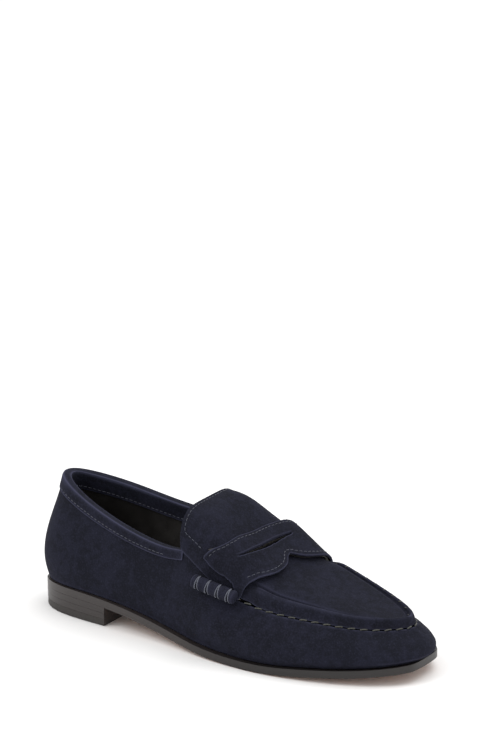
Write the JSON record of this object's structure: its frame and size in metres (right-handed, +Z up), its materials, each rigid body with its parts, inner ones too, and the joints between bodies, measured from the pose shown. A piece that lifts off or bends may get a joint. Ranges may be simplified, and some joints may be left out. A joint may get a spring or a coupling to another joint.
{
  "type": "penny loafer",
  "caption": "Right-foot slip-on penny loafer in napped leather with a raised apron seam, slotted saddle strap, rolled strap ends and a low stacked heel.",
  "frame": {"origin": "on the ground, at the centre of the shoe's bounding box in plan", "axes": "+X towards the toe, +Y towards the inner (medial) side, +Z up from the ground"},
  "size_m": [0.259, 0.0883, 0.0812],
  "materials": {
    "suede": "napped suede, matt",
    "lining_leather": "smooth, semi-matt",
    "sole_leather": "dyed and waxed edge",
    "rubber": "matt",
    "steel": "plain",
    "board": "raw fibre board",
    "cork": "ground cork",
    "foam": "foam",
    "stiffener": "fibre sheet",
    "thread": "waxed thread"
  },
  "bodies": {
    "root": {"outsole": "sole_leather", "heel_lift_1": "sole_leather", "heel_lift_2": "sole_leather", "top_lift": "rubber", "heel_nail_1": "steel", "heel_nail_2": "steel", "heel_nail_3": "steel", "heel_nail_4": "steel", "heel_nail_5": "steel", "insole_board": "board", "shank": "steel", "forepart_filler": "cork", "heel_pad": "foam", "sock_lining": "lining_leather", "upper_wall": "suede", "heel_counter": "stiffener", "toe_puff": "stiffener", "quarter_lining": "lining_leather", "vamp_lining": "lining_leather", "collar_binding": "suede", "apron_tongue": "suede", "tongue_lining": "lining_leather", "apron_seam_thread": "thread", "saddle_strap": "suede", "strap_backing": "lining_leather", "beef_roll_outer": "suede", "beef_roll_inner": "suede", "whip_stitch_outer_1": "thread", "whip_stitch_outer_2": "thread", "whip_stitch_outer_3": "thread", "whip_stitch_outer_4": "thread", "whip_stitch_inner_1": "thread", "whip_stitch_inner_2": "thread", "whip_stitch_inner_3": "thread", "whip_stitch_inner_4": "thread"}
  },
  "joints": []
}
